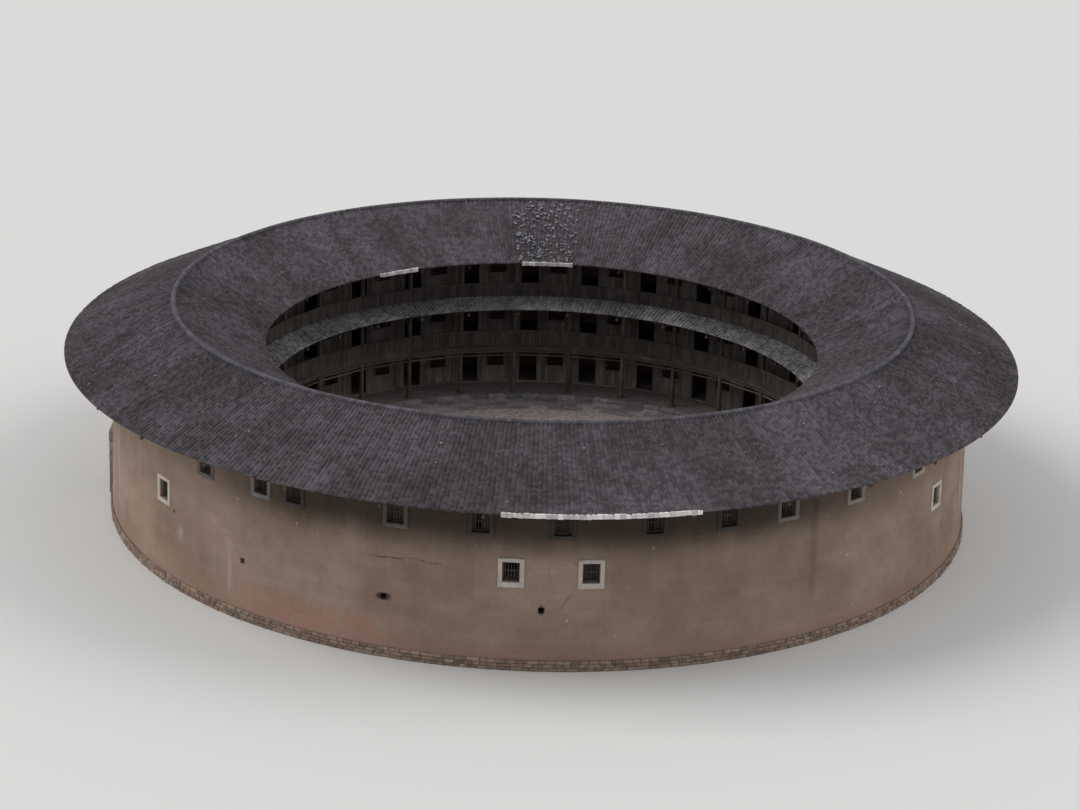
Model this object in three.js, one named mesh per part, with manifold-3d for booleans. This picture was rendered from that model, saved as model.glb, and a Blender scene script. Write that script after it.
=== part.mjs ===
// Round earth house of three storeys, a ring of rooms about one open court, as a scale model at 1:2.
// Real sizes are written in metres and turned into model millimetres by METRE.
// +Z is up, the origin is on the ground in the middle of the court, and the side seen from outside is -Y.
// Azimuth 0 points along -Y and grows towards +X, so the gate, on the -X side, is at azimuth 270.

import * as THREE from 'three';
import Module from 'manifold-3d';
import { mergeVertices } from 'three/addons/utils/BufferGeometryUtils.js';

const wasm = await Module();
wasm.setup();

// Scale and clearance
const SCALE = 0.5;
const METRE = 1000 * SCALE;
const GAP = 0.3;
const BED_JOINT = 0.9;

// Rhythm of the ring
const BAYS = 32;
const FACETS = 64;
const BAY_ANGLE = 360 / BAYS;
const POST_AZIMUTHS = Array.from({ length: BAYS }, (_, bay) => (bay + 0.5) * BAY_ANGLE);

// Roof
const RIDGE_RADIUS = 18.1 * METRE;
const RIDGE_HEIGHT = 10.45 * METRE;
const OUTER_EAVE_RADIUS = 23.4 * METRE;
const OUTER_EAVE_HEIGHT = 8.13 * METRE;
const INNER_EAVE_RADIUS = 13.58 * METRE;
const INNER_EAVE_HEIGHT = 8.15 * METRE;
const ROOF_DEPTH = 0.24 * METRE;
const RIDGE_CAP_FOOT = 0.18 * METRE;
const RIDGE_CAP_TOP = 0.1 * METRE;
const RIDGE_CAP_RISE = 0.14 * METRE;
const RAFTER_DEPTH = 0.18 * METRE;
const RAFTER_SETBACK = 0.25 * METRE;
const RAFTER_PLAY = 0.01 * METRE;
const EAVE_TIE_SETBACK = 1.2 * METRE;
const EAVE_TIE_NOTCH = 0.05 * METRE;

// Skirt roof round the court
const SKIRT_EAVE_RADIUS = 13.53 * METRE;
const SKIRT_EAVE_HEIGHT = 5.56 * METRE;
const SKIRT_SLOPE = 0.23;

// Earth wall and its stone footing
const WALL_FOOT_RADIUS = 21.2 * METRE;
const WALL_TOP_RADIUS = 21.0 * METRE;
const WALL_INNER_RADIUS = 19.7 * METRE;
const FOOTING_HEIGHT = 0.5 * METRE;
const FOOTING_PROJECTION = 0.1 * METRE;

// Floors
const GROUND_FLOOR = 0.35 * METRE;
const SECOND_FLOOR = 3.0 * METRE;
const THIRD_FLOOR = 5.7 * METRE;
const DECK_DEPTH = 0.15 * METRE;
const COURT_FLOOR = 0.15 * METRE;
const KERB_INNER_RADIUS = 14.5 * METRE;
const KERB_OUTER_RADIUS = 14.9 * METRE;

// Gallery timbers
const POST_RADIUS = 15.2 * METRE;
const POST_WIDTH = 0.2 * METRE;
const RING_BEAM_DEPTH = 0.22 * METRE;
const DECK_EDGE_RADIUS = 15.0 * METRE;
const BALUSTRADE_DEPTH = 0.06 * METRE;
const BALUSTRADE_HEIGHT = 0.95 * METRE;
const ARM_WIDTH = 0.14 * METRE;
const ARM_DEPTH = 0.15 * METRE;
const SKIRT_ARM_SETBACK = 0.17 * METRE;
const ROOF_ARM_SETBACK = 0.2 * METRE;

// Timber fronts of the rooms
const FRONT_RADIUS = 16.8 * METRE;
const FRONT_DEPTH = 0.08 * METRE;
const DOOR = { width: 0.95 * METRE, height: 1.95 * METRE, sill: 0.1 * METRE, offset: -0.75 * METRE };
const FRONT_WINDOW = { width: 0.9 * METRE, height: 0.85 * METRE, sill: 1.0 * METRE, offset: 0.75 * METRE };
const GATE_HALL_WIDTH = 2.7 * METRE;
const GATE_HALL_HEIGHT = 2.2 * METRE;
const FRONT_CUT_DEPTH = 1 * METRE;

// Windows in the earth wall
const WINDOW_WIDTH = 0.76 * METRE;
const WINDOW_HEIGHT = 0.9 * METRE;
const SURROUND_WIDTH = 0.2 * METRE;
const SURROUND_PROUD = 0.05 * METRE;
const SURROUND_DEPTH = 0.3 * METRE;
const WALL_CUT_DEPTH = 4 * METRE;
const THIRD_STOREY_WINDOW_HEIGHT = 6.8 * METRE;
const SECOND_STOREY_WINDOW_HEIGHT = 4.6 * METRE;
const SIDE_WINDOW_HEIGHT = 4.5 * METRE;
const VENT_SIZE = 0.26 * METRE;
const VENT_HEIGHT = 2.85 * METRE;

// Gate
const GATE_AZIMUTH = 270;
const GATE_BAY_HALF_ANGLE = 3.6;
const GATE_BAY_HEIGHT = 3.3 * METRE;
const GATE_WIDTH = 1.8 * METRE;
const GATE_HEIGHT = 2.75 * METRE;
const GATE_FRAME_PROUD = 0.05 * METRE;
const LEAF_WIDTH = 0.88 * METRE;
const LEAF_DEPTH = 0.08 * METRE;

// Windows seen from outside stand where the photograph has them; the unseen side has one a bay.
const SEEN_THIRD_STOREY = [-45.3, -35.6, -30.6, -16.9, -6.5, 3.2, 14.2, 23.6, 31.8, 42.8];
const SEEN_SECOND_STOREY = [-2.8, 6.7];
const SIDE_SECOND_STOREY = [-54.5, 62.1, 101.25, -101.25, 135, -135];
const BACK_SECOND_STOREY = [168.75, -168.75];
const VENT_AZIMUTHS = [-38.5, -18.2, 0.9];
const FIRST_PLAIN_BAY = 5;
const LAST_PLAIN_BAY = 26;

// The wall and the roof slopes are built in sections. Each starts at its azimuth and ends at the next one's.
const WALL_STARTS = {
  front_1: -25.5,
  front_2: -0.3,
  front_right: 19.5,
  right_1: 64.5,
  right_2: 84.4,
  right_3: 95.6,
  back_right: 109.5,
  back: 154.5,
  back_left: 199.5,
  behind_gate: 244.5,
  over_gate: GATE_AZIMUTH - GATE_BAY_HALF_ANGLE,
  before_gate: GATE_AZIMUTH + GATE_BAY_HALF_ANGLE,
  front_left: 289.5,
};
const OUTER_ROOF_STARTS = { front_1: -45, front_2: 0, right: 45, back_1: 135, back_2: 180, left: 225 };
const INNER_ROOF_STARTS = { front: -45, right: 45, back: 135, left: 225 };

// Colours
const EARTH = { color: 0x8a7261, roughness: 0.95 };
const TILE = { color: 0x4a474b, roughness: 0.9 };
const RIDGE_TILE = { color: 0x7b7a7e, roughness: 0.9 };
const STONE = { color: 0x8b8680, roughness: 0.9 };
const PAVING = { color: 0x77726d, roughness: 0.9 };
const TIMBER = { color: 0x4b3a2c, roughness: 0.85 };
const DARK_TIMBER = { color: 0x3a2d24, roughness: 0.85 };

const outerSlope = (RIDGE_HEIGHT - OUTER_EAVE_HEIGHT) / (OUTER_EAVE_RADIUS - RIDGE_RADIUS);
const innerSlope = (RIDGE_HEIGHT - INNER_EAVE_HEIGHT) / (RIDGE_RADIUS - INNER_EAVE_RADIUS);
const outerTop = (radius) => RIDGE_HEIGHT - (radius - RIDGE_RADIUS) * outerSlope;
const innerTop = (radius) => RIDGE_HEIGHT - (RIDGE_RADIUS - radius) * innerSlope;
const skirtTop = (radius) => SKIRT_EAVE_HEIGHT + (radius - SKIRT_EAVE_RADIUS) * SKIRT_SLOPE;
const wallFace = (height) => {
  const share = (height - FOOTING_HEIGHT) / (outerTop(WALL_TOP_RADIUS) - FOOTING_HEIGHT);
  return WALL_FOOT_RADIUS + (WALL_TOP_RADIUS - WALL_FOOT_RADIUS) * share;
};
const wallLean = Math.atan2(WALL_FOOT_RADIUS - WALL_TOP_RADIUS, outerTop(WALL_TOP_RADIUS) - FOOTING_HEIGHT);
const radians = THREE.MathUtils.degToRad;

// A closed three.js geometry becomes a solid for cutting and joining.
function solid(geometry) {
  const bare = geometry.clone();
  bare.deleteAttribute('normal');
  bare.deleteAttribute('uv');
  const merged = mergeVertices(bare, 0.005);
  const vertProperties = new Float32Array(merged.attributes.position.array);
  const triVerts = new Uint32Array(merged.index.array);
  if (signedVolume(vertProperties, triVerts) < 0) {
    for (let corner = 0; corner < triVerts.length; corner += 3) {
      [triVerts[corner], triVerts[corner + 1]] = [triVerts[corner + 1], triVerts[corner]];
    }
  }
  const mesh = new wasm.Mesh({ numProp: 3, vertProperties, triVerts });
  return new wasm.Manifold(mesh);
}

function signedVolume(points, triangles) {
  const a = new THREE.Vector3();
  const b = new THREE.Vector3();
  const c = new THREE.Vector3();
  let total = 0;
  for (let corner = 0; corner < triangles.length; corner += 3) {
    a.fromArray(points, triangles[corner] * 3);
    b.fromArray(points, triangles[corner + 1] * 3);
    c.fromArray(points, triangles[corner + 2] * 3);
    total += a.dot(b.cross(c));
  }
  return total / 6;
}

// A solid becomes a geometry again.
function geometryOf(body) {
  const mesh = body.getMesh();
  const geometry = new THREE.BufferGeometry();
  geometry.setAttribute('position', new THREE.BufferAttribute(new Float32Array(mesh.vertProperties), 3));
  geometry.setIndex(new THREE.BufferAttribute(new Uint32Array(mesh.triVerts), 1));
  geometry.computeVertexNormals();
  return geometry;
}

// A ring of flat facets: a closed outline of radius and height is turned about the middle of the court.
// The middle of each flat facet stands at the stated radius.
function ring(outline, sides) {
  const corner = 1 / Math.cos(Math.PI / sides);
  const points = outline.map(([radius, height]) => new THREE.Vector2(radius * corner, height));
  points.push(points[0].clone());
  const geometry = new THREE.LatheGeometry(points, sides, Math.PI / sides);
  geometry.rotateX(Math.PI / 2);
  return solid(geometry);
}

// A ring of straight timbers between the posts: its corners stand at the stated radius, on the posts.
function bayRing(inner, outer, low, high) {
  const flat = Math.cos(Math.PI / BAYS);
  return ring(band(inner * flat, outer * flat, low, high), BAYS);
}

function band(inner, outer, low, high) {
  return [[inner, low], [outer, low], [outer, high], [inner, high]];
}

// A flat disc with straight sides, whose middles stand at the stated radius.
function disc(radius, low, high, sides) {
  const corner = radius / Math.cos(Math.PI / sides);
  const geometry = new THREE.CylinderGeometry(corner, corner, high - low, sides, 1, false, Math.PI / sides);
  geometry.rotateX(Math.PI / 2);
  geometry.translate(0, 0, (low + high) / 2);
  return solid(geometry);
}

// The direction of an azimuth in the plan.
function direction(azimuth) {
  return new THREE.Vector2(Math.sin(radians(azimuth)), -Math.cos(radians(azimuth)));
}

// The part of a ring between two azimuths less than 180 degrees apart, short of both by half a gap.
function sector(body, from, to) {
  const reach = OUTER_EAVE_RADIUS * 3;
  const trim = THREE.MathUtils.radToDeg(GAP / 2 / INNER_EAVE_RADIUS);
  const middle = (from + to) / 2;
  const corners = [from + trim, middle, to - trim].map((azimuth) => direction(azimuth).multiplyScalar(reach));
  const wedge = new THREE.Shape([new THREE.Vector2(0, 0), ...corners]);
  const geometry = new THREE.ExtrudeGeometry(wedge, { depth: RIDGE_HEIGHT * 2, bevelEnabled: false });
  geometry.translate(0, 0, -RIDGE_HEIGHT / 2);
  return body.intersect(solid(geometry));
}

// The named sections of a ring, each from its own start to the next one's.
function sections(body, starts) {
  const names = Object.keys(starts);
  return names.map((name, index) => {
    const next = names[index + 1];
    const to = next ? starts[next] : starts[names[0]] + 360;
    return [name, sector(body, starts[name], to)];
  });
}

// Moves a geometry drawn with +Y outwards and +X sideways to its azimuth and radius.
function turnTo(geometry, azimuth, radius, height) {
  geometry.translate(0, radius, height);
  geometry.rotateZ(radians(azimuth) + Math.PI);
  return geometry;
}

// A block with its middle at a radius, seen square on at its azimuth.
function block(azimuth, radius, height, width, depth, tall, lean = 0, sideways = 0) {
  const geometry = new THREE.BoxGeometry(width, depth, tall);
  geometry.rotateX(lean);
  geometry.translate(sideways, 0, 0);
  return solid(turnTo(geometry, azimuth, radius, height));
}

// A bar that runs in and out: its outline of radius and height is as wide as the bar across.
function radialBar(azimuth, outline, width) {
  const shape = new THREE.Shape(outline.map(([radius, height]) => new THREE.Vector2(radius, height)));
  const geometry = new THREE.ExtrudeGeometry(shape, { depth: width, bevelEnabled: false });
  geometry.translate(0, 0, -width / 2);
  geometry.rotateX(Math.PI / 2);
  geometry.rotateZ(Math.PI / 2);
  return solid(turnTo(geometry, azimuth, 0, 0));
}

const house = new THREE.Group();

function add(name, body, look) {
  const material = new THREE.MeshStandardMaterial({ color: look.color, roughness: look.roughness, metalness: 0 });
  const mesh = new THREE.Mesh(geometryOf(body), material);
  mesh.name = name;
  house.add(mesh);
}

// Earth wall
function windowList() {
  const windows = [];
  const place = (azimuths, height) => azimuths.forEach((azimuth) => windows.push({ azimuth, height }));
  place(SEEN_THIRD_STOREY, THIRD_STOREY_WINDOW_HEIGHT);
  for (let bay = FIRST_PLAIN_BAY; bay <= LAST_PLAIN_BAY; bay += 1) {
    windows.push({ azimuth: bay * BAY_ANGLE, height: THIRD_STOREY_WINDOW_HEIGHT });
  }
  place(SEEN_SECOND_STOREY, SECOND_STOREY_WINDOW_HEIGHT);
  place(SIDE_SECOND_STOREY, SIDE_WINDOW_HEIGHT);
  place(BACK_SECOND_STOREY, SECOND_STOREY_WINDOW_HEIGHT);
  return windows;
}

function wallWithWindows() {
  const levelTop = outerTop(WALL_TOP_RADIUS) - ROOF_DEPTH - GAP;
  const outline = [
    [WALL_INNER_RADIUS, FOOTING_HEIGHT + BED_JOINT],
    [WALL_FOOT_RADIUS, FOOTING_HEIGHT + BED_JOINT],
    [WALL_TOP_RADIUS, levelTop],
    [WALL_INNER_RADIUS, levelTop],
  ];
  let wall = ring(outline, FACETS);
  for (const { azimuth, height } of windowList()) {
    const middle = wallFace(height) + SURROUND_PROUD - SURROUND_DEPTH / 2;
    const wide = WINDOW_WIDTH + 2 * SURROUND_WIDTH;
    const tall = WINDOW_HEIGHT + 2 * SURROUND_WIDTH;
    wall = wall.add(block(azimuth, middle, height, wide, SURROUND_DEPTH, tall, wallLean));
    wall = wall.subtract(block(azimuth, WALL_FOOT_RADIUS, height, WINDOW_WIDTH, WALL_CUT_DEPTH, WINDOW_HEIGHT));
  }
  for (const azimuth of VENT_AZIMUTHS) {
    wall = wall.subtract(block(azimuth, WALL_FOOT_RADIUS, VENT_HEIGHT, VENT_SIZE, WALL_CUT_DEPTH, VENT_SIZE));
  }
  return wall;
}

function addEarthWall() {
  const gateBay = ring(band(FRONT_RADIUS, OUTER_EAVE_RADIUS, 0, GATE_BAY_HEIGHT + GAP), FACETS);
  for (const [name, section] of sections(wallWithWindows(), WALL_STARTS)) {
    add(`outer_wall_${name}`, name === 'over_gate' ? section.subtract(gateBay) : section, EARTH);
  }
}

function addFooting() {
  const radius = WALL_FOOT_RADIUS + FOOTING_PROJECTION;
  const footing = ring(band(WALL_INNER_RADIUS, radius, 0, FOOTING_HEIGHT), FACETS);
  const opposite = GATE_AZIMUTH - 180;
  add('stone_footing_front', sector(footing, WALL_STARTS.before_gate - 360, opposite), STONE);
  add('stone_footing_back', sector(footing, opposite, WALL_STARTS.over_gate), STONE);
}

// Gate: a stone frame as deep as the wall, and two plank leaves folded back against the wall inside
function addGate() {
  const outside = WALL_FOOT_RADIUS + FOOTING_PROJECTION + GATE_FRAME_PROUD;
  const surround = ring(band(WALL_INNER_RADIUS, outside, 0, GATE_BAY_HEIGHT), FACETS);
  const opening = block(GATE_AZIMUTH, WALL_FOOT_RADIUS, (GROUND_FLOOR + GATE_HEIGHT) / 2,
    GATE_WIDTH, WALL_CUT_DEPTH, GATE_HEIGHT - GROUND_FLOOR);
  const frame = sector(surround, WALL_STARTS.over_gate, WALL_STARTS.before_gate);
  add('gate_stone_frame', frame.subtract(opening), STONE);
  const facet = 360 / FACETS;
  const low = GROUND_FLOOR + GAP;
  const high = GATE_HEIGHT - GAP;
  const radius = WALL_INNER_RADIUS - GAP - LEAF_DEPTH / 2;
  const hingeShift = radius * Math.tan(Math.PI / FACETS) - LEAF_WIDTH / 2;
  for (const [name, side] of [['gate_leaf_right', -1], ['gate_leaf_left', 1]]) {
    const leaf = block(GATE_AZIMUTH + side * facet, radius, (low + high) / 2,
      LEAF_WIDTH, LEAF_DEPTH, high - low, 0, side * hingeShift);
    add(name, leaf, DARK_TIMBER);
  }
}

// Floors
function addFloors() {
  const kerb = ring(band(KERB_INNER_RADIUS, KERB_OUTER_RADIUS, 0, GROUND_FLOOR), FACETS);
  add('veranda_kerb', kerb, STONE);
  const ground = ring(band(KERB_OUTER_RADIUS + GAP, WALL_INNER_RADIUS - GAP, 0, GROUND_FLOOR), FACETS);
  add('ground_floor', ground, PAVING);
  add('courtyard_floor', disc(KERB_INNER_RADIUS - GAP, 0, COURT_FLOOR, FACETS), PAVING);
  for (const [name, level] of [['second_floor_deck', SECOND_FLOOR], ['third_floor_deck', THIRD_FLOOR]]) {
    const whole = disc(WALL_INNER_RADIUS - GAP, level - DECK_DEPTH, level, FACETS);
    const well = disc(DECK_EDGE_RADIUS * Math.cos(Math.PI / BAYS), 0, RIDGE_HEIGHT, BAYS);
    add(name, whole.subtract(well), TIMBER);
  }
}

// Gallery frames: posts under a ring beam, with the arms that carry an eave
function posts(low, high) {
  return POST_AZIMUTHS.map((azimuth) =>
    block(azimuth, POST_RADIUS, (low + high) / 2, POST_WIDTH, POST_WIDTH, high - low));
}

function galleryFrame(floor, beamTop, arms) {
  const beamLow = beamTop - RING_BEAM_DEPTH;
  const half = POST_WIDTH / 2;
  let frame = bayRing(POST_RADIUS - half, POST_RADIUS + half, beamLow, beamTop);
  for (const post of posts(floor + GAP, beamLow + half)) {
    frame = frame.add(post);
  }
  for (const arm of arms) {
    frame = frame.add(arm);
  }
  return frame;
}

function addGalleries() {
  const underSecond = SECOND_FLOOR - DECK_DEPTH - GAP;
  const underThird = THIRD_FLOOR - DECK_DEPTH - GAP;
  add('gallery_frame_ground', galleryFrame(GROUND_FLOOR, underSecond, []), TIMBER);

  const skirtArmEnd = SKIRT_EAVE_RADIUS + SKIRT_ARM_SETBACK;
  const skirtArmTop = skirtTop(skirtArmEnd) - ROOF_DEPTH - GAP;
  const skirtArm = band(skirtArmEnd, POST_RADIUS, skirtArmTop - ARM_DEPTH, skirtArmTop);
  const skirtArms = POST_AZIMUTHS.map((azimuth) => radialBar(azimuth, skirtArm, ARM_WIDTH));
  add('gallery_frame_second', galleryFrame(SECOND_FLOOR, underThird, skirtArms), TIMBER);

  const underRoof = (radius) => innerTop(radius) - ROOF_DEPTH - GAP;
  const armEnd = INNER_EAVE_RADIUS + ROOF_ARM_SETBACK;
  const armFoot = POST_RADIUS + POST_WIDTH / 2;
  const roofArm = [
    [armEnd, underRoof(armEnd) - RAFTER_DEPTH],
    [armFoot, underRoof(armFoot) - RAFTER_DEPTH],
    [armFoot, underRoof(armFoot)],
    [armEnd, underRoof(armEnd)],
  ];
  const roofArms = POST_AZIMUTHS.map((azimuth) => radialBar(azimuth, roofArm, ARM_WIDTH));
  const beamMiddle = (POST_RADIUS - POST_WIDTH / 2) * Math.cos(Math.PI / BAYS);
  add('gallery_frame_third', galleryFrame(THIRD_FLOOR, underRoof(beamMiddle), roofArms), TIMBER);

  const railOuter = POST_RADIUS - POST_WIDTH / 2 - GAP;
  const railInner = railOuter - BALUSTRADE_DEPTH;
  for (const [name, floor] of [['balustrade_second', SECOND_FLOOR], ['balustrade_third', THIRD_FLOOR]]) {
    add(name, bayRing(railInner, railOuter, floor + GAP, floor + BALUSTRADE_HEIGHT), DARK_TIMBER);
  }
}

// Timber fronts of the rooms, with a door and a window in every bay
function roomFront(floor, top, gateBay) {
  let front = bayRing(FRONT_RADIUS, FRONT_RADIUS + FRONT_DEPTH, floor + GAP, top);
  for (let bay = 0; bay < BAYS; bay += 1) {
    const azimuth = bay * BAY_ANGLE;
    if (bay === gateBay) {
      const height = floor + GATE_HALL_HEIGHT / 2 + DOOR.sill;
      front = front.subtract(block(azimuth, FRONT_RADIUS, height, GATE_HALL_WIDTH, FRONT_CUT_DEPTH, GATE_HALL_HEIGHT));
      continue;
    }
    for (const { width, height, sill, offset } of [DOOR, FRONT_WINDOW]) {
      const middle = floor + sill + height / 2;
      front = front.subtract(block(azimuth, FRONT_RADIUS, middle, width, FRONT_CUT_DEPTH, height, 0, offset));
    }
  }
  return front;
}

function addRoomFronts() {
  const none = -1;
  const gateBay = GATE_AZIMUTH / BAY_ANGLE;
  const underRoof = innerTop(FRONT_RADIUS * Math.cos(Math.PI / BAYS)) - ROOF_DEPTH - GAP;
  add('room_front_ground', roomFront(GROUND_FLOOR, SECOND_FLOOR - DECK_DEPTH - GAP, gateBay), TIMBER);
  add('room_front_second', roomFront(SECOND_FLOOR, THIRD_FLOOR - DECK_DEPTH - GAP, none), TIMBER);
  add('room_front_third', roomFront(THIRD_FLOOR, underRoof, none), TIMBER);
}

// Roofs
function addRoofs() {
  const outer = ring([
    [RIDGE_RADIUS + GAP / 2, outerTop(RIDGE_RADIUS) - ROOF_DEPTH],
    [OUTER_EAVE_RADIUS, OUTER_EAVE_HEIGHT - ROOF_DEPTH],
    [OUTER_EAVE_RADIUS, OUTER_EAVE_HEIGHT],
    [RIDGE_RADIUS + GAP / 2, outerTop(RIDGE_RADIUS)],
  ], FACETS);
  const inner = ring([
    [INNER_EAVE_RADIUS, INNER_EAVE_HEIGHT - ROOF_DEPTH],
    [RIDGE_RADIUS - GAP / 2, innerTop(RIDGE_RADIUS) - ROOF_DEPTH],
    [RIDGE_RADIUS - GAP / 2, innerTop(RIDGE_RADIUS)],
    [INNER_EAVE_RADIUS, INNER_EAVE_HEIGHT],
  ], FACETS);
  const deckMiddle = DECK_EDGE_RADIUS * Math.cos(Math.PI / BAYS) - GAP;
  const skirt = ring([
    [SKIRT_EAVE_RADIUS, SKIRT_EAVE_HEIGHT - ROOF_DEPTH],
    [deckMiddle, skirtTop(deckMiddle) - ROOF_DEPTH],
    [deckMiddle, skirtTop(deckMiddle)],
    [SKIRT_EAVE_RADIUS, SKIRT_EAVE_HEIGHT],
  ], FACETS);
  for (const [name, section] of sections(outer, OUTER_ROOF_STARTS)) {
    add(`outer_roof_${name}`, section, TILE);
  }
  for (const [name, section] of sections(inner, INNER_ROOF_STARTS)) {
    add(`inner_roof_${name}`, section, TILE);
  }
  add('skirt_roof', skirt, TILE);

  const capTop = RIDGE_HEIGHT + RIDGE_CAP_RISE;
  const cap = ring([
    [RIDGE_RADIUS - RIDGE_CAP_FOOT, innerTop(RIDGE_RADIUS - RIDGE_CAP_FOOT) + GAP],
    [RIDGE_RADIUS, RIDGE_HEIGHT + GAP],
    [RIDGE_RADIUS + RIDGE_CAP_FOOT, outerTop(RIDGE_RADIUS + RIDGE_CAP_FOOT) + GAP],
    [RIDGE_RADIUS + RIDGE_CAP_TOP, capTop],
    [RIDGE_RADIUS - RIDGE_CAP_TOP, capTop],
  ], FACETS);
  add('roof_ridge', cap, RIDGE_TILE);
}

// Rafters of the outer eave, tied by a ring below them
function addEaveFrame() {
  const underRoof = (radius) => outerTop(radius) - ROOF_DEPTH - GAP;
  const end = OUTER_EAVE_RADIUS - RAFTER_SETBACK;
  const start = WALL_TOP_RADIUS + RAFTER_PLAY;
  const rafter = [
    [start, underRoof(start) - RAFTER_DEPTH],
    [end, underRoof(end) - RAFTER_DEPTH],
    [end, underRoof(end)],
    [start, underRoof(start)],
  ];
  const tieRadius = OUTER_EAVE_RADIUS - EAVE_TIE_SETBACK;
  const tieTop = underRoof(tieRadius) - RAFTER_DEPTH + EAVE_TIE_NOTCH;
  let frame = bayRing(tieRadius - ARM_WIDTH, tieRadius, tieTop - ARM_WIDTH, tieTop);
  for (const azimuth of POST_AZIMUTHS) {
    frame = frame.add(radialBar(azimuth, rafter, ARM_WIDTH));
  }
  add('outer_eave_frame', frame, TIMBER);
}

addFooting();
addEarthWall();
addGate();
addFloors();
addGalleries();
addRoomFronts();
addEaveFrame();
addRoofs();

export default house;
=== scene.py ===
import itertools
import math

import bpy
import numpy as np
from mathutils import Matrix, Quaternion, Vector


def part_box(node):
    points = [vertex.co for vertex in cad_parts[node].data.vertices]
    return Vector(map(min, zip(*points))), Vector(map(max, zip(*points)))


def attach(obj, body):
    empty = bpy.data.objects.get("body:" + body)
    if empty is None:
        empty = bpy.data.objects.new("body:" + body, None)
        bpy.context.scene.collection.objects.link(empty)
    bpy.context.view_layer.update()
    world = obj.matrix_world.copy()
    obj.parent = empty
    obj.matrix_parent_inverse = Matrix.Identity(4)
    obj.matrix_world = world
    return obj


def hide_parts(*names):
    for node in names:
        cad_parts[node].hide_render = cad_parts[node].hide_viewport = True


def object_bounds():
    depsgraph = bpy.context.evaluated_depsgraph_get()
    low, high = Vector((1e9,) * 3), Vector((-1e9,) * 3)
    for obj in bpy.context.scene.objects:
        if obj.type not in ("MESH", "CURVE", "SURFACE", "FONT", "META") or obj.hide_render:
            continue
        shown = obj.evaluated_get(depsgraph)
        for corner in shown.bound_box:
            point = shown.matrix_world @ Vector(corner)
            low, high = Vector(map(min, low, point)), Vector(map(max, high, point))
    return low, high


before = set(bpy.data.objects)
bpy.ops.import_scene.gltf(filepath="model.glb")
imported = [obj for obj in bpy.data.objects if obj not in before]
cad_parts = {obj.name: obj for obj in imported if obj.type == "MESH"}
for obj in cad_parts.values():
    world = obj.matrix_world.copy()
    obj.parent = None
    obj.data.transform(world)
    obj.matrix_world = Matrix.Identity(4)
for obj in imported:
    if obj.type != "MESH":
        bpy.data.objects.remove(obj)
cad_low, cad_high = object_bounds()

SCALE = 0.5
SEED = 7

# Sizes taken from the frame: a round node's box ends at its radius
EAVE_RADIUS, _, TOP = cad_high / SCALE
COURT_RADIUS, _, COURT_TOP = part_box("courtyard_floor")[1] / SCALE
KERB_RADIUS, _, KERB_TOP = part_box("veranda_kerb")[1] / SCALE
FOOTING_RADIUS, _, FOOTING_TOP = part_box("stone_footing_front")[1] / SCALE
SKIRT_UPPER_RADIUS, _, SKIRT_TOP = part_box("skirt_roof")[1] / SCALE
GROUND_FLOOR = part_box("ground_floor")[1].z / SCALE
SECOND_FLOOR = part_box("second_floor_deck")[1].z / SCALE
THIRD_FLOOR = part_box("third_floor_deck")[1].z / SCALE
DECK_DEPTH = THIRD_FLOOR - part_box("third_floor_deck")[0].z / SCALE

# Sizes shared with the construction. FLAT and CHORD turn the radius to a bay's corners into the radius to
# its middle and the bay's width.
BAYS = 32
BAY_ANGLE = 360 / BAYS
FLAT = math.cos(math.pi / BAYS)
CHORD = 2 * math.sin(math.pi / BAYS)
FACET_ANGLE = 360 / 64
RIDGE_RADIUS = 18.1
RIDGE_HEIGHT = 10.45
EAVE_TOP = 8.13
INNER_EAVE_RADIUS = 13.58
INNER_EAVE_TOP = 8.15
SKIRT_EAVE_RADIUS = 13.53
SKIRT_EAVE_TOP = 5.56
ROOF_DEPTH = 0.24
WALL_FOOT_RADIUS = 21.2
WALL_TOP_RADIUS = 21
WALL_INNER_RADIUS = 19.7
POST_RADIUS = 15.2
POST_WIDTH = 0.2
BEAM_DEPTH = 0.22
DECK_EDGE_RADIUS = 15
BALUSTRADE_HEIGHT = 0.95
BALUSTRADE_DEPTH = 0.06
FRONT_RADIUS = 16.8
FRONT_DEPTH = 0.08
KERB_INNER_RADIUS = 14.5
GATE_AZIMUTH = 270
GATE_BAY_HALF_ANGLE = 3.6
GATE_BAY_HEIGHT = 3.3
GATE_WIDTH = 1.8
GATE_HEIGHT = 2.75

# Windows and vents of the wall: the height of their middles and their azimuths, from -90 to 270
WINDOW_WIDTH = 0.76
WINDOW_HEIGHT = 0.9
SURROUND_WIDTH = 0.2
CASING_WIDTH = 0.07
LOWER_BAND_EXTRA = 0.07
UPPER_WINDOW = 6.8
LOWER_WINDOW = 4.6
SIDE_WINDOW = 4.5
WINDOW_ROWS = (
    (UPPER_WINDOW, [-45.3, -35.6, -30.6, -16.9, -6.5, 3.2, 14.2, 23.6, 31.8, 42.8]),
    (UPPER_WINDOW, [bay * BAY_ANGLE for bay in range(5, 27)]),
    (LOWER_WINDOW, [-2.8, 6.7, 168.75, 191.25]),
    (SIDE_WINDOW, [-54.5, 62.1, 101.25, 258.75, 135, 225]),
)
WINDOWS = [((azimuth + 90) % 360 - 90, height) for height, row in WINDOW_ROWS for azimuth in row]
WORN_SURROUNDS = [-45.3, -30.6, -6.5, 3.2, 14.2, 23.6]
VENTS = [-38.5, -18.2, 0.9]
VENT_HEIGHT = 2.85
VENT_SIZE = 0.26

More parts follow.
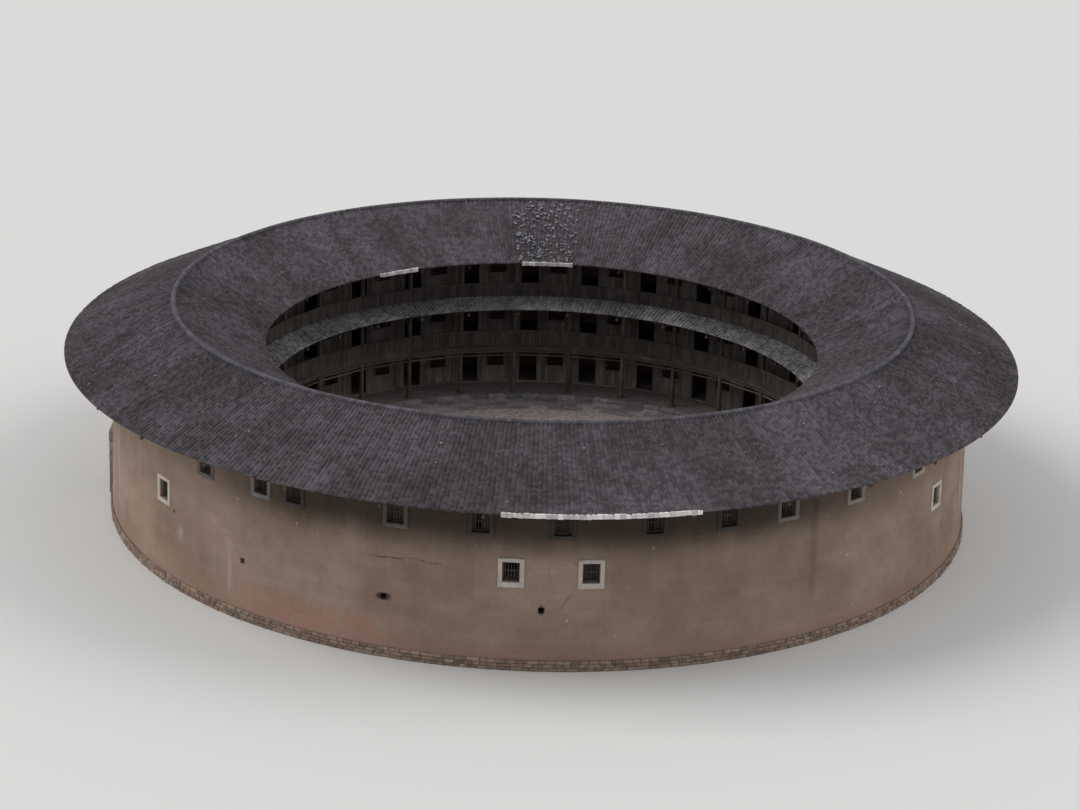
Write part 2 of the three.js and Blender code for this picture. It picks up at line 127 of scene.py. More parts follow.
# The wall and the roof slopes come in sections, each from its own azimuth to the next one's
WALL_STARTS = {
    "front_1": -25.5, "front_2": -0.3, "front_right": 19.5, "right_1": 64.5, "right_2": 84.4,
    "right_3": 95.6, "back_right": 109.5, "back": 154.5, "back_left": 199.5, "behind_gate": 244.5,
    "over_gate": GATE_AZIMUTH - GATE_BAY_HALF_ANGLE, "before_gate": GATE_AZIMUTH + GATE_BAY_HALF_ANGLE,
    "front_left": 289.5,
}
OUTER_ROOF_STARTS = {"front_1": -45, "front_2": 0, "right": 45, "back_1": 135, "back_2": 180, "left": 225}
INNER_ROOF_STARTS = {"front": -45, "right": 45, "back": 135, "left": 225}

# Marks of the wall. Patches go from and to an azimuth, lowest and highest. Spots have an azimuth, a height,
# a width and a height of their own.
RED_PATCH = (-44, -12, 0.1, 2.2)
PALE_MARKS = [(-41.2, -40.2, 0.7, 3.9), (-51.3, -49.7, 2.2, 3.3)]
CRACK_PATCH = (-23, -9, 4.3, 5.1)
CRACK_HEIGHT = 4.35
DAMP_STREAKS = [36, 74, 152, 208]
SPOTS = [
    (-38.5, 2.85, 0.16, 0.14),
    (-18.2, 2.85, 0.38, 0.22),
    (0.9, 2.85, 0.2, 0.3),
    (-52, 3.75, 0.1, 0.12),
]
CALM_FRONT = (48, 72)


def incline(from_x, from_y, to_x, to_y):
    """The straight line through two points: a roof's height by radius, or the wall's radius by height."""
    slope = (to_y - from_y) / (to_x - from_x)
    return lambda x: from_y + (x - from_x) * slope


outer_top = incline(RIDGE_RADIUS, RIDGE_HEIGHT, EAVE_RADIUS, EAVE_TOP)
inner_top = incline(RIDGE_RADIUS, RIDGE_HEIGHT, INNER_EAVE_RADIUS, INNER_EAVE_TOP)
skirt_top = incline(SKIRT_EAVE_RADIUS, SKIRT_EAVE_TOP, SKIRT_UPPER_RADIUS, SKIRT_TOP)
wall_face = incline(FOOTING_TOP, WALL_FOOT_RADIUS, outer_top(WALL_TOP_RADIUS), WALL_TOP_RADIUS)
OUTER_TILT = math.atan(outer_top(1) - outer_top(0))
INNER_TILT = math.atan(inner_top(1) - inner_top(0))


# Places round the house
def outward(azimuth):
    """The direction away from the middle. That of 90 degrees more is the direction along the wall."""
    angle = np.radians(azimuth)
    return np.stack([np.sin(angle), -np.cos(angle), np.zeros_like(angle)], -1)


def spread(*values):
    """The values as arrays of one shape."""
    return np.broadcast_arrays(*[np.asarray(value, float) for value in values])


def polar(azimuth, radius, height):
    azimuth, radius, height = spread(azimuth, radius, height)
    points = outward(azimuth) * radius[..., None]
    points[..., 2] = height
    return points


def around(count):
    """Azimuths of a count of like things, half a step from azimuth 0."""
    return (np.arange(count) + 0.5) * 360 / count


def sections(starts):
    """Each section's name with the azimuths where it starts and ends."""
    azimuths = list(starts.values())
    return zip(starts, azimuths, azimuths[1:] + [azimuths[0] + 360])


def turned(first, second, angle):
    """Two axes turned by an angle, the first towards the second."""
    cos = np.cos(angle)[:, None]
    sin = np.sin(angle)[:, None]
    return first * cos + second * sin, second * cos - first * sin


def ripple(points, wavelength, seed):
    """Smooth noise from -1 to 1 at each point, from a few waves in random directions."""
    rng = np.random.default_rng(seed)
    total = np.zeros(points.shape[:-1])
    waves = 5
    for _ in range(waves):
        direction = rng.normal(size=3)
        direction /= np.linalg.norm(direction)
        pitch = wavelength * rng.uniform(0.6, 1.6)
        total += np.sin(points @ direction * 2 * np.pi / pitch + rng.uniform(0, 2 * np.pi))
    return total / waves


# Mesh building
def box_faces(points):
    """Faces of a box, cut at its edges or not: the three or four points that reach furthest one way."""
    faces = []
    for way in itertools.product((-1, 0, 1), repeat=3):
        reach = points @ way
        face = np.flatnonzero(reach > reach.max() - 0.1)
        if len(face) in (3, 4):
            spokes = points[face] - points[face].mean(0)
            angles = np.arctan2(spokes @ np.cross(way, spokes[0]), spokes @ spokes[0])
            faces.append(face[np.argsort(angles)])
    return faces


# A cut box has three points at each corner, one for each axis, and all but one axis of each are cut
BOX_SIGNS = np.array(list(itertools.product((-1, 1), repeat=3)), float)
BOX_FACES = box_faces(BOX_SIGNS)
CUT_SIGNS = np.repeat(BOX_SIGNS, 3, 0)
CUT_MASKS = np.tile(1 - np.eye(3), (8, 1))
CUT_FACES = box_faces(CUT_SIGNS * (1 - 0.2 * CUT_MASKS))


def grid_quads(index):
    """The corners of each cell of a grid of point numbers."""
    return np.stack([index[:-1, :-1], index[:-1, 1:], index[1:, 1:], index[1:, :-1]], -1).reshape(-1, 4)


def new_object(name, data):
    made = bpy.data.objects.new(name, data)
    bpy.context.scene.collection.objects.link(made)
    return made


class Build:
    """Collects a piece's points and faces, and the surface coordinates and tones that materials read."""

    def __init__(self, seed=SEED):
        self.points = []
        self.faces = []
        self.surface = []
        self.tone = []
        self.rng = np.random.default_rng(seed)

    def add(self, points, faces, surface, tone=0.5):
        base = sum(map(len, self.points))
        points = np.reshape(points, (-1, 3))
        self.points.append(points)
        self.surface.append(np.reshape(surface, (-1, 3)))
        self.tone.append(np.zeros(len(points)) + tone)
        self.faces += [[base + corner for corner in face] for face in faces]

    def blocks(self, azimuth, radius, height, out, across, tall,
               tilt=0, shift=0, spin=0, bevel=0, rough=0, tone=None):
        """Blocks with their middles at azimuth, radius and height. tilt lifts the outer end, in radians."""
        values = spread(azimuth, radius, height, tilt, shift, spin, out, across, tall)
        azimuth, radius, height, tilt, shift, spin, *size = [value.ravel() for value in values]
        many = len(azimuth)
        half = np.stack(size, -1) / 2
        aside = outward(azimuth + 90)
        middle = polar(azimuth, radius, height) + aside * shift[:, None]
        first, third = turned(outward(azimuth), np.array([0, 0, 1]), tilt)
        first, second = turned(first, aside, spin)
        if bevel:
            signs, faces = CUT_SIGNS, CUT_FACES
            cut = np.minimum(bevel, half.min(1) * 0.45)[:, None, None] * CUT_MASKS
        else:
            signs, faces = BOX_SIGNS, BOX_FACES
            cut = 0
        local = signs * (half[:, None, :] - cut)
        if rough:
            local = local + self.rng.uniform(-rough, rough, local.shape)
        points = middle[:, None, :] + np.einsum("nvk,nkx->nvx", local, np.stack([first, second, third], 1))
        thin_long_wide = np.argsort(half, 1)[:, None, [0, 2, 1]]
        surface = np.take_along_axis(local, thin_long_wide, 2) * SCALE
        surface += self.rng.uniform(0, 50, (many, 1, 3))
        drawn = self.rng.uniform(0, 1, many)
        tone = np.repeat(drawn if tone is None else tone, len(signs))
        base = np.arange(many)[:, None] * len(signs)
        self.add(points, [row for face in faces for row in (base + face).tolist()], surface, tone)

    def grid(self, points, surface, flip):
        """A sheet of quads through points[rows][columns]."""
        quads = grid_quads(np.arange(points.size // 3).reshape(points.shape[:2]))
        self.add(points, (quads[:, ::-1] if flip else quads).tolist(), surface)

    def row(self, count, pitch, *place, shift=0, **how):
        """Like blocks side by side, about a shift from the azimuth."""
        for offset in (np.arange(count) - (count - 1) / 2) * pitch:
            self.blocks(*place, shift=shift + offset, **how)

    def ring(self, outline, azimuths, whole=True):
        """An outline of radius and height turned through the azimuths. A part ring gets end faces."""
        radius, height = np.array(outline, float).T
        points = polar(azimuths[:, None], radius, height)
        along = np.radians(azimuths)[:, None] * radius
        surface = np.stack([height + radius + 0 * along, along, 0 * along], -1) * SCALE
        index = np.arange(along.size).reshape(along.shape)
        ends = [] if whole else [index[0].tolist(), index[-1, ::-1].tolist()]
        quads = grid_quads(np.pad(index, ((0, int(whole)), (0, 1)), "wrap"))
        self.add(points, quads.tolist() + ends, surface)

    def piece(self, name, material, slot, replaces=(), smooth=False):
        """Makes the object at the model's scale, on the frame's only body."""
        points = np.concatenate(self.points)
        points[:, 2] = np.clip(points[:, 2], 0, TOP)
        mesh = bpy.data.meshes.new(name)
        mesh.from_pydata((points * SCALE).tolist(), [], self.faces)
        for key, kind, field, rows in (
            ("surface", "FLOAT_VECTOR", "vector", self.surface),
            ("tone", "FLOAT", "value", self.tone),
        ):
            layer = mesh.attributes.new(key, kind, "POINT")
            layer.data.foreach_set(field, np.concatenate(rows).astype(np.float32).ravel())
        mesh.materials.append(material)
        mesh.update()
        mesh.polygons.foreach_set("use_smooth", [smooth] * len(mesh.polygons))
        if smooth:
            mesh.set_sharp_from_angle(angle=math.radians(35))
        made = new_object(name, mesh)
        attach(made, "root")
        if replaces:
            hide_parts(*replaces)


# Materials
def linear(code):
    """A colour from its six-digit web code."""
    channels = [int(code[start:start + 2], 16) / 255 for start in (0, 2, 4)]
    return [part / 12.92 if part <= 0.04045 else ((part + 0.055) / 1.055) ** 2.4 for part in channels] + [1]


class Look:
    """A material whose colour and bumps are laid on step by step round one Principled shader."""

    def __init__(self, name, colour, roughness):
        self.material = bpy.data.materials.new(name)
        self.material.use_nodes = True
        self.tree = self.material.node_tree
        self.shader = self.tree.nodes["Principled BSDF"]
        self.shader.inputs["Roughness"].default_value = roughness
        self.shader.inputs["Specular IOR Level"].default_value = 0.3
        self.place = self.node("TexCoord").outputs["Object"]
        self.colour = colour
        self.normal = None

    def node(self, kind, settings=None, *values, **named):
        """A new node with settings, and values for its first inputs and for named ones."""
        made = self.tree.nodes.new("ShaderNode" + kind)
        for key, value in (settings or {}).items():
            setattr(made, key, value)
        for number, value in enumerate(values):
            self.feed(made.inputs[number], value)
        for key, value in named.items():
            self.feed(made.inputs[key.replace("_", " ")], value)
        return made

    def feed(self, socket, value):
        if isinstance(value, bpy.types.NodeSocket):
            self.tree.links.new(value, socket)
        else:
            socket.default_value = linear(value) if isinstance(value, str) else value

    def attribute(self, name, output):
        return self.node("Attribute", {"attribute_name": name}).outputs[output]

    def math(self, operation, *values):
        return self.node("Math", {"operation": operation}, *values).outputs[0]

    def times(self, first, *others):
        for other in others:
            first = self.math("MULTIPLY", first, other)
        return first

    def vector_math(self, operation, *values, output="Vector"):
        return self.node("VectorMath", {"operation": operation}, *values).outputs[output]

    def vector(self, *values):
        return self.node("CombineXYZ", None, *values).outputs[0]

    def parts(self, vector):
        return self.node("SeparateXYZ", None, vector).outputs

    def span(self, value, low, high, at_low=0, at_high=1):
        """Goes smoothly from at_low to at_high as the value goes from low to high."""
        settings = {"clamp": True, "interpolation_type": "SMOOTHSTEP"}
        return self.node("MapRange", settings, value, low, high, at_low, at_high).outputs[0]

    def scaled(self, scale, on):
        """Coordinates times one scale, or times one for each axis."""
        return self.vector_math("MULTIPLY", on or self.place, np.broadcast_to(scale, 3).tolist())

    def noise(self, scale, detail=4, rough=0.55, on=None):
        where = self.scaled(scale, on)
        return self.node("TexNoise", Vector=where, Scale=1, Detail=detail, Roughness=rough).outputs["Fac"]

    def cells(self, scale, feature="F1", output="Distance", on=None):
        where = self.scaled(scale, on)
        return self.node("TexVoronoi", {"feature": feature}, Vector=where, Scale=1).outputs[output]

    def random(self, dimensions, **where):
        return self.node("TexWhiteNoise", {"noise_dimensions": dimensions}, **where).outputs["Value"]

    def cover(self, factor, colour, blend="MIX"):
        """Lays another colour over the colour so far."""
        made = self.node("Mix", {"data_type": "RGBA", "blend_type": blend}, factor)
        self.feed(made.inputs[6], self.colour)
        self.feed(made.inputs[7], colour)
        self.colour = made.outputs[2]

    def tint(self, value, low, high, colour, most=1):
        """Lays on more of another colour as a value goes from low to high."""
        self.cover(self.span(value, low, high, 0, most), colour)

    def dim(self, factor):
        """Multiplies the colour by a grey factor."""
        self.cover(1, self.node("CombineColor", None, factor, factor, factor).outputs[0], "MULTIPLY")

    def vary(self, value, low, high, at_low, at_high):
        """Darkens or lightens the colour by a factor that follows a value."""
        self.dim(self.span(value, low, high, at_low, at_high))

    def bump(self, height, distance, strength):
        made = self.node("Bump", None, Strength=strength, Distance=distance, Height=height)
        if self.normal is not None:
            self.feed(made.inputs["Normal"], self.normal)
        self.normal = made.outputs[0]

    def finish(self, roughness=None):
        for name, value in (("Base Color", self.colour), ("Roughness", roughness), ("Normal", self.normal)):
            if value is not None:
                self.feed(self.shader.inputs[name], value)
        return self.material


def arc(azimuth):
    """How far along the wall's surface coordinates an azimuth lies."""
    return math.radians(azimuth) * WALL_FOOT_RADIUS * SCALE


def patch_mask(look, along, height, patch):
    """One inside a soft-edged patch of the wall and nothing outside."""
    first, last, lowest, highest = patch
    masks = []
    for value, start, end in ((along, arc(first), arc(last)), (height, lowest * SCALE, highest * SCALE)):
        edge = (end - start) / 3
        masks += [look.span(value, start, start + edge), look.span(value, end - edge, end, 1, 0)]
    return look.times(*masks)


def painted_eave_shade(look):
    """A grey factor of painted shade from the eave, darkest at the top of the wall and on the front."""
    across, inward, height = look.parts(look.place)
    facing = look.parts(look.vector_math("NORMALIZE", look.vector(across, inward)))[1]
    share = look.span(facing, -0.94, -0.57, 1, 0.15)
    level = look.math("MULTIPLY_ADD", look.noise((1.6, 1.6, 0.4), 3), 0.3, height)
    dark = look.span(level, 2.55, 3.45, 0, 0.83)
    return look.math("SUBTRACT", 1, look.times(dark, share))


def formwork(look, surface):
    """Joints of the boards between which the earth was rammed."""
    wobble = look.times(look.noise(1.2, 3), 0.06)
    bent = look.vector_math("ADD", surface, look.vector(wobble, wobble))
    return look.node(
        "TexBrick", {"offset": 0.37, "offset_frequency": 2}, Vector=bent,
        Color1="ffffff", Color2="e4e0dc", Mortar="c9c2bc", Scale=1,
        Mortar_Size=0.005, Mortar_Smooth=0.9, Brick_Width=0.95, Row_Height=0.21,
    )


def add_water_marks(look, along, height, medium):
    """Rain streaks that a calm front has few of, a reddish foot and damp streaks."""
    rain = look.span(look.math("ABSOLUTE", along), *[arc(azimuth) for azimuth in CALM_FRONT], 0.2, 1)
    for scale, most, colour in (((3.2, 3.2, 0.16), 0.5, "77675b"), ((4.5, 4.5, 0.25), 0.55, "b3a191")):
        streaks = look.noise(scale, 4, 0.6)
        look.cover(look.times(look.span(streaks, 0.55, 0.75, 0, most), rain), colour)
    look.cover(look.span(look.math("MULTIPLY_ADD", medium, 0.5, height), 0.35, 1.15, 0.45, 0), "9a7868")
    red = patch_mask(look, along, height, RED_PATCH)
    look.cover(look.times(red, look.span(medium, 0.35, 0.65, 0, 0.7)), "a87969")
    for azimuth in DAMP_STREAKS:
        off = look.math("ABSOLUTE", look.math("SUBTRACT", along, arc(azimuth)))
        look.cover(look.times(look.span(off, 0.03, 0.16, 0.4, 0), look.span(height, 0.7, 1.6)), "62544a")


def add_crack(look, surface, along, height, medium):
    """One long crack across the front."""
    wave = look.noise((0.9, 0, 0), 3, 0.5, surface)
    level = look.math("MULTIPLY_ADD", wave, 0.35, CRACK_HEIGHT * SCALE)
    off = look.math("ABSOLUTE", look.math("SUBTRACT", level, height))
    split = look.times(look.span(off, 0.008, 0.03, 1, 0), patch_mask(look, along, height, CRACK_PATCH))
    look.cover(look.times(split, look.span(medium, 0.4, 0.55, 0.2, 0.75)), "43362e")


def add_spots(look, along, height, medium):
    """Pale marks, and dark stains at the vents."""
    for mark in PALE_MARKS:
        pale = look.times(patch_mask(look, along, height, mark), look.span(medium, 0.35, 0.6, 0.08, 0.3))
        look.cover(pale, "c4b2a4")
    for azimuth, level, wide, tall in SPOTS:
        aside = look.math("DIVIDE", look.math("SUBTRACT", along, arc(azimuth)), wide * SCALE)
        above = look.math("DIVIDE", look.math("SUBTRACT", height, level * SCALE), tall * SCALE)
        away = look.vector_math("LENGTH", look.vector(aside, above), output="Value")
        look.cover(look.span(look.math("MULTIPLY_ADD", medium, 0.8, away), 0.9, 1.5, 0.9, 0), "3a2620")


def earth_look():
    """Rammed earth: lifts and formwork joints, water marks, stains, pits and fine cracks."""
    look = Look("rammed_earth", "8b7666", 0.95)
    surface = look.attribute("surface", "Vector")
    along, height, _ = look.parts(surface)
    broad = look.noise(0.45, 6, 0.6)
    medium = look.noise(2.6, 6, 0.65)
    grain = look.noise(30, 5, 0.7)
    look.tint(broad, 0.35, 0.68, "a69080")
    look.tint(medium, 0.4, 0.7, "998271", 0.5)
    forms = formwork(look, surface)
    look.cover(0.4, forms.outputs["Color"], "MULTIPLY")
    add_water_marks(look, along, height, medium)
    add_crack(look, surface, along, height, medium)
    add_spots(look, along, height, medium)
    look.cover(look.span(look.cells((1.3, 1.3, 1.1)), 0.03, 0.05, 0.6, 0), "c9bdb0")
    edges = look.cells((0.9, 0.9, 1.6), "DISTANCE_TO_EDGE")
    crack = look.times(look.span(edges, 0, 0.008, 1, 0), look.span(broad, 0.52, 0.6))
    look.cover(look.times(crack, 0.35), "54473d")
    look.vary(grain, 0.3, 0.75, 0.86, 1.1)
    # Painted shade: the eave's shadow darkens the top of the wall
    look.dim(painted_eave_shade(look))
    look.bump(look.noise(5, 8, 0.7), 0.02, 0.6)
    look.bump(grain, 0.004, 0.6)
    look.bump(forms.outputs["Fac"], 0.006, -0.4)
    look.bump(crack, 0.008, -0.8)
    return look.finish(look.span(medium, 0.3, 0.7, 0.88, 0.98))


def plaster_look():
    """Old lime plaster, dirty at its edges and worn away where its tone is high."""
    look = Look("lime_plaster", "cabfb6", 0.9)
    grain = look.noise(40, 4, 0.7)
    look.tint(look.noise((6, 6, 2.5), 6, 0.65), 0.4, 0.72, "a09186", 0.75)
    look.tint(look.attribute("tone", "Fac"), 0, 1, "6f6156", 0.8)
    look.vary(grain, 0.3, 0.7, 0.92, 1.04)
    # Painted shade: the eave's shadow darkens surrounds near the top of the wall
    look.dim(painted_eave_shade(look))
    look.bump(look.noise(14, 6, 0.6), 0.006, 0.6)
    look.bump(grain, 0.002, 0.5)
    return look.finish()


TILE_COURSE = 0.075
SEAM_ROWS = 19
SEAM_LEAN = 2.2


def tile_look(name, dark, light, lichen, lichen_share):
    """Small clay tiles: a tone for each, painted shade at each course's step, seams, weather patches and
    lichen.
    """
    look = Look(name, dark, 0.85)
    surface = look.attribute("surface", "Vector")
    row, along, _ = look.parts(surface)
    row_number = look.math("FLOOR", row)
    stagger = look.random("1D", W=row_number)
    steps = look.math("ADD", look.math("DIVIDE", along, TILE_COURSE), stagger)
    step_share = look.math("FRACT", steps)
    tile = look.random("2D", Vector=look.vector(row_number, look.math("FLOOR", steps)))
    patch = look.noise(2.2, 6, 0.7)
    fine = look.noise(25, 5, 0.7)
    seams = look.math("DIVIDE", look.math("MULTIPLY_ADD", along, SEAM_LEAN, row), SEAM_ROWS)
    look.tint(look.noise(0.5, 5, 0.6), 0.35, 0.65, light)
    look.vary(tile, 0, 1, 0.68, 1.34)
    look.vary(stagger, 0, 1, 0.96, 1.04)
    look.vary(look.random("1D", W=look.math("FLOOR", seams)), 0, 1, 0.92, 1.08)
    look.vary(look.noise((0.16, 0.5, 0), 5, 0.65, surface), 0.3, 0.7, 0.84, 1.18)
    look.vary(look.math("FRACT", seams), 0, 0.06, 0.8, 1)
    look.tint(patch, 0.56, 0.75, lichen, lichen_share)
    look.tint(look.noise(9, 3, 0.5), 0.64, 0.72, lichen, 0.35)
    # Painted shade: each course darker at its step between courses
    look.vary(step_share, 0, 0.16, 0.55, 1)
    look.vary(fine, 0.3, 0.7, 0.88, 1.1)
    look.bump(step_share, 0.008, 0.8)
    look.bump(fine, 0.003, 0.6)
    return look.finish(look.span(patch, 0.3, 0.7, 0.78, 0.95))


def wood_look(name, dark, light, worn):
    """Weathered timber: grain along each piece, a tone for each piece, grey worn patches and checks."""
    look = Look(name, dark, 0.8)
    surface = look.attribute("surface", "Vector")
    grain = look.noise((42, 2.6, 42), 6, 0.65, surface)
    checks = look.noise((90, 1.6, 90), 2, 0.5, surface)
    look.tint(grain, 0.3, 0.7, light)
    look.vary(look.attribute("tone", "Fac"), 0, 1, 0.72, 1.25)
    look.tint(look.noise(3, 5, 0.6), 0.5, 0.75, worn, 0.55)
    look.vary(checks, 0.62, 0.68, 1, 0.55)
    look.bump(grain, 0.003, 0.7)
    look.bump(look.span(checks, 0.62, 0.68), 0.003, -0.8)
    return look.finish(look.span(grain, 0.3, 0.7, 0.7, 0.9))


def stone_look(name, dark, light, stain):
    """Rough stone: a tone for each block, grain and stains."""
    look = Look(name, dark, 0.9)
    mottle = look.noise(7, 7, 0.7)
    speckle = look.noise(70, 3, 0.7)
    look.tint(mottle, 0.32, 0.7, light)
    look.vary(look.attribute("tone", "Fac"), 0, 1, 0.74, 1.22)
    look.tint(look.noise(1.1, 5, 0.6), 0.5, 0.72, stain, 0.6)
    look.vary(speckle, 0.3, 0.7, 0.85, 1.12)
    look.bump(mottle, 0.014, 0.7)
    look.bump(speckle, 0.003, 0.6)
    return look.finish(look.span(mottle, 0.3, 0.7, 0.8, 0.96))


def cobble_look():
    """A floor of river stones set in earth."""
    look = Look("cobbles", "a0928d", 0.9)
    swirl = look.node("TexNoise", Vector=look.place, Scale=3).outputs["Color"]
    bent = look.vector_math("ADD", look.place, look.scaled((0.05, 0.05, 0), swirl))
    gap = look.cells(14, "DISTANCE_TO_EDGE", on=bent)
    tone = look.parts(look.cells(14, "F1", "Color", bent))[0]
    look.tint(tone, 0, 1, "ccbdb8")
    look.cover(look.span(gap, 0.02, 0.09, 1, 0), "85766f")
    look.tint(look.noise(0.6, 5, 0.6), 0.5, 0.7, "8a7e75", 0.5)
    look.bump(look.span(gap, 0, 0.25), 0.014, 0.9)
    look.bump(look.noise(40, 4, 0.6), 0.003, 0.5)
    return look.finish(look.span(tone, 0, 1, 0.75, 0.95))


EARTH = earth_look()
PLASTER = plaster_look()
COBBLES = cobble_look()
TILE = tile_look("roof_tiles", "423d40", "544e52", "726a6f", 0.4)
SKIRT_TILE = tile_look("skirt_tiles", "656362", "868483", "a5a5a0", 0.6)
TIMBER = wood_look("weathered_timber", "463e38", "695e55", "756e69")
FRONT_TIMBER = wood_look("front_boards", "6e665e", "958b82", "a19b95")
DARK_TIMBER = wood_look("dark_boards", "37322f", "534c47", "635d58")
RED_TIMBER = wood_look("door_boards", "3c2c26", "5a4238", "564a43")
RIDGE_TILE = stone_look("ridge_tiles", "4d4a4d", "615e63", "444144")
STONE = stone_look("field_stone", "7a685b", "9d8979", "87695a")
KERB_STONE = stone_look("kerb_stone", "787170", "a09896", "655e5b")
GATE_STONE = stone_look("gate_stone", "8f857b", "b0a599", "7b6f64")
MORTAR = stone_look("earth_mortar", "6a594c", "857161", "66544a")
FLOOR_EARTH = stone_look("floor_earth", "776e6a", "978e89", "665e59")
LIME = stone_look("lime_mortar", "cfcac7", "e4e0dd", "b3adaa")
WEATHERED_LIME = stone_look("weathered_lime", "6f6c6f", "918d90", "636063")


# Roof tiles
OUTER_ROWS = 608
INNER_ROWS = 472
SKIRT_ROWS = 400
ROW_SHARES = np.array([0, 0.2, 0.3, 0.5, 0.7, 0.8])
ROW_HEIGHTS = np.array([0, 0.008, 0.042, 0.062, 0.042, 0.008])
TILE_BASE = 0.016
TILE_BACK = 0.03
TILE_OVERHANG = 0.03
RIDGE_GAP = 0.1
BOARD_DROP = 0.02
BOARD_DEPTH = 0.04


def tile_rows(start, end, rows, eave, ridge, top, steps, seed):
    """One sheet of tile rows that run from the eave to the ridge, closed below as a thin body."""
    rng = np.random.default_rng(seed)
    spacing = (end - start) / rows
    columns = np.append((np.arange(rows)[:, None] + ROW_SHARES).ravel(), rows)
    heights = np.append(np.tile(ROW_HEIGHTS, rows), ROW_HEIGHTS[0])
    number = np.minimum(columns.astype(int), rows - 1)
    radii = eave + (ridge - eave) * np.linspace(0, 1, steps + 1)
    lift = rng.normal(0, 0.009, (steps + 1, rows))[:, number]
    drift = rng.normal(0, 0.075, (steps + 1, rows))[:, number]
    drift[:, [0, -1]] = 0
    azimuth = start + (columns + drift) * spacing
    base = top(radii)[:, None] + TILE_BASE
    sag = ripple(polar(azimuth, radii[:, None], 0), 6, seed + 1) * 0.012
    upper = polar(azimuth, radii[:, None], base + heights + lift * (heights > 0.01) + sag)
    lower = polar(azimuth, radii[:, None], base - TILE_BACK)[[0, -1]]
    along = np.abs(radii - eave) * math.hypot(1, (top(ridge) - top(eave)) / (ridge - eave))
    surface = np.stack(np.broadcast_arrays(columns + start / spacing, along[:, None] * SCALE, 0), -1)
    inward = ridge < eave
    build = Build()
    shell = np.concatenate([upper, lower[::-1], upper[:1]])
    build.grid(shell, surface[[*range(steps + 1), -1, 0, 0]], inward)
    for column, flip in ((0, not inward), (-1, inward)):
        side = np.stack([upper[:, column], np.linspace(lower[0, column], lower[1, column], steps + 1)])
        build.grid(side, surface[:2, :1] * np.ones((2, steps + 1, 1)), flip)
    return build


def make_tiles():
    outer = (EAVE_RADIUS - TILE_OVERHANG, RIDGE_RADIUS + RIDGE_GAP, outer_top, 16, 10)
    inner = (INNER_EAVE_RADIUS + TILE_OVERHANG, RIDGE_RADIUS - RIDGE_GAP, inner_top, 14, 20)
    skirt = (SKIRT_EAVE_RADIUS + TILE_OVERHANG, SKIRT_UPPER_RADIUS - 0.01, skirt_top, 6, 30)
    for slope, starts, rows, shape in (
        ("outer", OUTER_ROOF_STARTS, OUTER_ROWS, outer),
        ("inner", INNER_ROOF_STARTS, INNER_ROWS, inner),
    ):
        for name, start, end in sections(starts):
            build = tile_rows(start, end, rows * (end - start) // 360, *shape)
            build.piece(f"{slope}_tiles_{name}", TILE, "roof_tile", [f"{slope}_roof_{name}"])
    tile_rows(0, 360, SKIRT_ROWS, *skirt).piece("skirt_tiles", SKIRT_TILE, "roof_tile", ["skirt_roof"])


def make_roof_timbers():
    """Boards under the tiles, and rafters that carry them past the walls."""
    boards = Build(6)
    rafters = Build(7)
    low = BOARD_DROP + BOARD_DEPTH
    depth = 0.12
    for count, inner, outer, inner_end, outer_end, top in (
        (256, RIDGE_RADIUS, EAVE_RADIUS - 0.1, WALL_INNER_RADIUS, EAVE_RADIUS - 0.16, outer_top),
        (192, INNER_EAVE_RADIUS + 0.1, RIDGE_RADIUS, INNER_EAVE_RADIUS + 0.16, FRONT_RADIUS + 0.6,
         inner_top),
        (160, SKIRT_EAVE_RADIUS + 0.08, SKIRT_UPPER_RADIUS, SKIRT_EAVE_RADIUS + 0.14,
         SKIRT_UPPER_RADIUS - 0.02, skirt_top),
    ):
        outline = [(inner, top(inner) - low), (outer, top(outer) - low), (outer, top(outer) - BOARD_DROP),
                   (inner, top(inner) - BOARD_DROP)]
        boards.ring(outline, np.arange(256) * 360 / 256)
        length = outer_end - inner_end
        angle = math.atan((top(outer_end) - top(inner_end)) / length)
        middle = (inner_end + outer_end) / 2
        rafters.blocks(around(count), middle, top(middle) - low - depth / 2 / math.cos(angle),
                       length / math.cos(angle), 0.08, depth, tilt=angle, bevel=0.012)
    boards.piece("roof_boards", TIMBER, "timber")
    rafters.piece("roof_rafters", TIMBER, "timber")


def make_ridge():
    """A ridge of overlapping cap tiles bedded in lime."""
    tiles = 560
    spokes = 9
    cap = 0.11
    azimuth = (np.arange(tiles)[:, None] + [0, 0.12, 0.88]).ravel() * 360 / tiles
    reach = cap + np.tile([0, 0.016, 0.006], tiles)[:, None]
    angles = np.radians(np.linspace(200, -20, spokes))
    wave = ripple(polar(azimuth, RIDGE_RADIUS, 0), 5, 41)[:, None] * 0.012
    height = RIDGE_HEIGHT + 0.01 + np.sin(angles) * reach + wave
    points = polar(azimuth[:, None], RIDGE_RADIUS + np.cos(angles) * reach, height)
    index = np.arange(height.size).reshape(height.shape)
    quads = grid_quads(np.pad(index, (0, 1), "wrap"))
    tone = np.random.default_rng(42).uniform(0, 1, tiles)
    build = Build(8)
    build.add(points, quads.tolist(), points, np.repeat(tone, 3 * spokes))
    build.piece("ridge_tiles", RIDGE_TILE, "ridge_tile", ["roof_ridge"], smooth=True)


